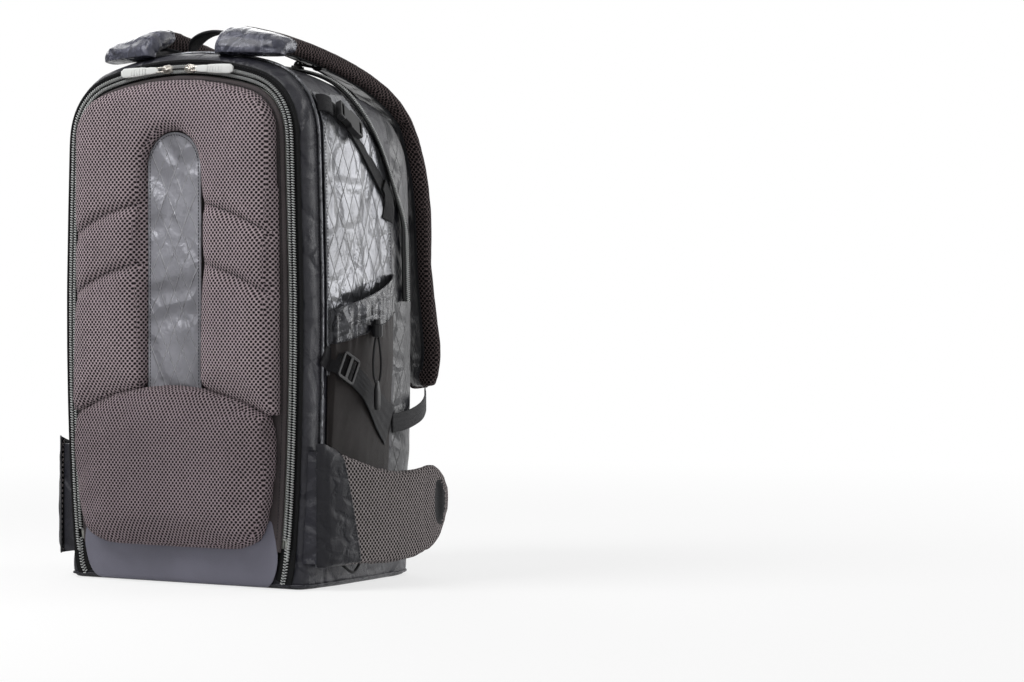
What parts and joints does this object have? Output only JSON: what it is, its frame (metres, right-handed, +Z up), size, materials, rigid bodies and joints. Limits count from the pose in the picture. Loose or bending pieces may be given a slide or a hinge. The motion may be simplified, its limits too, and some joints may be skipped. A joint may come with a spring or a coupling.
{
  "type": "camera backpack",
  "caption": "Padded camera backpack that opens at its back panel, with a divided interior, folded hip wings, shoulder straps laid over the top and stretch side pockets.",
  "frame": {"origin": "on the flat base's underside, midway across the bag and 90 mm behind the plane of the main zip", "axes": "+Z up the standing bag, -Y out of the padded back panel that is the lid, +X to the right seen from that side"},
  "size_m": [0.3932, 0.3489, 0.5698],
  "materials": {
    "shell_cloth": "satin coated cloth",
    "laminate": "glossy laminated cloth",
    "air_mesh": "open mesh over foam",
    "light_lining": "ribbed lining cloth",
    "dark_lining": "ribbed lining cloth",
    "webbing": "woven webbing",
    "black_plastic": "matte moulded",
    "zip_coil": "coil on woven tape",
    "nickel": "plated die casting",
    "pull_grip": "soft moulded grip",
    "stretch_cloth": "stretch mesh",
    "frame_plastic": "sheet",
    "spine_cloth": "diamond weave laminate"
  },
  "bodies": {
    "bag": {"anchor_strap_left": "webbing", "anchor_strap_right": "webbing", "back_wall_liner": "light_lining", "base_cover": "shell_cloth", "body_zip": "zip_coil", "bottle_pocket_left": "stretch_cloth", "bottle_pocket_right": "stretch_cloth", "compression_webbing_left": "webbing", "compression_webbing_right": "webbing", "divider_centre_1": "light_lining", "divider_centre_2": "light_lining", "divider_curved": "light_lining", "divider_hood": "dark_lining", "divider_left_1": "light_lining", "divider_left_2": "light_lining", "divider_left_3": "light_lining", "divider_left_4": "light_lining", "divider_long_left": "light_lining", "divider_long_right": "light_lining", "divider_right_1": "light_lining", "divider_right_2": "light_lining", "divider_right_3": "light_lining", "front_pocket": "laminate", "laptop_compartment": "laminate", "laptop_zip": "zip_coil", "main_shell": "shell_cloth", "pocket_cord_left": "webbing", "pocket_cord_lock_left": "black_plastic", "pocket_cord_lock_right": "black_plastic", "pocket_cord_right": "webbing", "rain_cover_pouch": "dark_lining", "rim_lining": "light_lining", "shelf_centre": "light_lining", "side_buckle_left": "black_plastic", "side_buckle_right": "black_plastic", "strap_webbing_left": "webbing", "strap_webbing_right": "webbing", "tri_glide_left": "black_plastic", "tri_glide_right": "black_plastic", "wing_root_left": "laminate", "wing_root_right": "laminate"},
    "lid": {"back_pad": "air_mesh", "lumbar_pad": "air_mesh", "spine_strip": "spine_cloth", "lid_panel": "shell_cloth", "lid_frame_sheet": "frame_plastic", "lid_liner": "light_lining", "lid_mesh_pocket": "light_lining", "lid_zip": "zip_coil", "lid_bungee": "webbing"},
    "slider_left": {"zip_slider_left": "nickel"},
    "pull_left": {"zip_pull_left": "pull_grip"},
    "strap_left": {"shoulder_strap_left": "air_mesh"},
    "wing_left": {"hip_wing_left": "air_mesh"},
    "slider_right": {"zip_slider_right": "nickel"},
    "pull_right": {"zip_pull_right": "pull_grip"},
    "strap_right": {"shoulder_strap_right": "air_mesh"},
    "wing_right": {"hip_wing_right": "air_mesh"},
    "laptop_slider": {"laptop_zip_slider": "black_plastic"},
    "handle": {"grab_handle": "webbing"}
  },
  "joints": [
    {"name": "lid_hinge", "type": "hinge", "parent": "bag", "child": "lid", "pos_m": [0, -0.09, 0.0345], "axis": [1, 0, 0], "range_deg": [0, 90]},
    {"name": "zip_slider_left_travel", "type": "hinge", "parent": "lid", "child": "slider_left", "pos_m": [0, -0.09, 0.166], "axis": [0, 1, 0], "range_deg": [-9.5, 0]},
    {"name": "zip_pull_left_swing", "type": "hinge", "parent": "slider_left", "child": "pull_left", "pos_m": [-0.0145, -0.0995, 0.5257], "axis": [-0.0403, 0, 0.9992], "range_deg": [0, 95]},
    {"name": "shoulder_strap_left_swing", "type": "hinge", "parent": "bag", "child": "strap_left", "pos_m": [-0.078, -0.084, 0.537], "axis": [1, 0, 0], "range_deg": [0, 10]},
    {"name": "hip_wing_left_fold", "type": "hinge", "parent": "bag", "child": "wing_left", "pos_m": [-0.169, -0.084, 0.08], "axis": [0, 0, 1], "range_deg": [0, 120]},
    {"name": "zip_slider_right_travel", "type": "hinge", "parent": "lid", "child": "slider_right", "pos_m": [0, -0.09, 0.166], "axis": [0, 1, 0], "range_deg": [0, 9.5]},
    {"name": "zip_pull_right_swing", "type": "hinge", "parent": "slider_right", "child": "pull_right", "pos_m": [0.0145, -0.0995, 0.5257], "axis": [0.0403, 0, 0.9992], "range_deg": [-95, 0]},
    {"name": "shoulder_strap_right_swing", "type": "hinge", "parent": "bag", "child": "strap_right", "pos_m": [0.078, -0.084, 0.537], "axis": [1, 0, 0], "range_deg": [0, 10]},
    {"name": "hip_wing_right_fold", "type": "hinge", "parent": "bag", "child": "wing_right", "pos_m": [0.169, -0.084, 0.08], "axis": [0, 0, 1], "range_deg": [-120, 0]},
    {"name": "laptop_slider_travel", "type": "hinge", "parent": "bag", "child": "laptop_slider", "pos_m": [0, 0.014, 0.17321], "axis": [0, 1, 0], "range_deg": [-20, 0]},
    {"name": "handle_swing", "type": "hinge", "parent": "bag", "child": "handle", "pos_m": [0, -0.032, 0.5417], "axis": [1, 0, 0], "range_deg": [-60, 60]}
  ]
}
